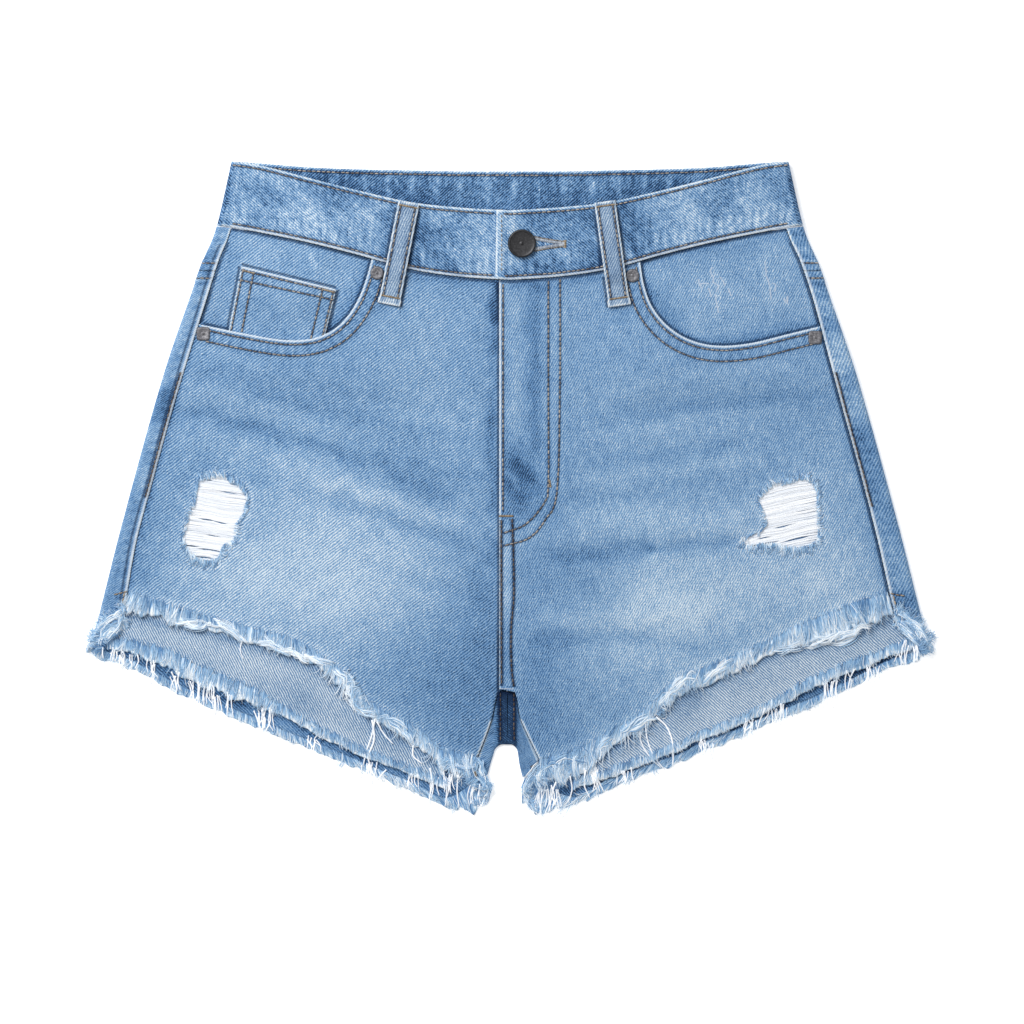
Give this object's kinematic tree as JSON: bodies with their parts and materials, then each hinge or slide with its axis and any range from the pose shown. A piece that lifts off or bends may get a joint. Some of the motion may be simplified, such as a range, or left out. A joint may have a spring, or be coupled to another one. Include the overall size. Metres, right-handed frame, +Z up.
{
  "type": "denim shorts laid flat",
  "caption": "Light blue denim cut-off shorts laid flat with the front up: high waistband with belt loops, buttoned fly, scooped front pockets and frayed hems.",
  "frame": {"origin": "on the surface the shorts lie on, under the middle of their outline", "axes": "+X across the waist, to the right as seen from the front; +Y from the crotch to the waist; +Z up, out of the front"},
  "size_m": [0.5097, 0.3939, 0.0128],
  "materials": {
    "denim": "washed light blue twill",
    "denim_inside": "paler inner side of the twill",
    "frayed_denim": "loose pale threads",
    "button_metal": "dark grey, satin",
    "rivet_metal": "dull grey"
  },
  "bodies": {
    "root": {"waistband": "denim", "front_panel_left": "denim", "front_panel_right": "denim", "back_panel_left": "denim", "back_panel_right": "denim", "yoke_left": "denim", "yoke_right": "denim", "pocket_facing_left": "denim", "pocket_facing_right": "denim", "coin_pocket": "denim", "back_pocket_left": "denim", "back_pocket_right": "denim", "belt_loop_front_left": "denim", "belt_loop_front_right": "denim", "belt_loop_back_left": "denim", "belt_loop_back_centre": "denim", "belt_loop_back_right": "denim", "hem_facing_left": "denim_inside", "hem_facing_right": "denim_inside", "fringe_front_left": "frayed_denim", "fringe_front_right": "frayed_denim", "fringe_facing_left": "frayed_denim", "fringe_facing_right": "frayed_denim", "fringe_back_left": "frayed_denim", "fringe_back_right": "frayed_denim", "button": "button_metal", "rivet_left_upper": "rivet_metal", "rivet_left_lower": "rivet_metal", "rivet_right_upper": "rivet_metal", "rivet_right_lower": "rivet_metal"}
  },
  "joints": []
}
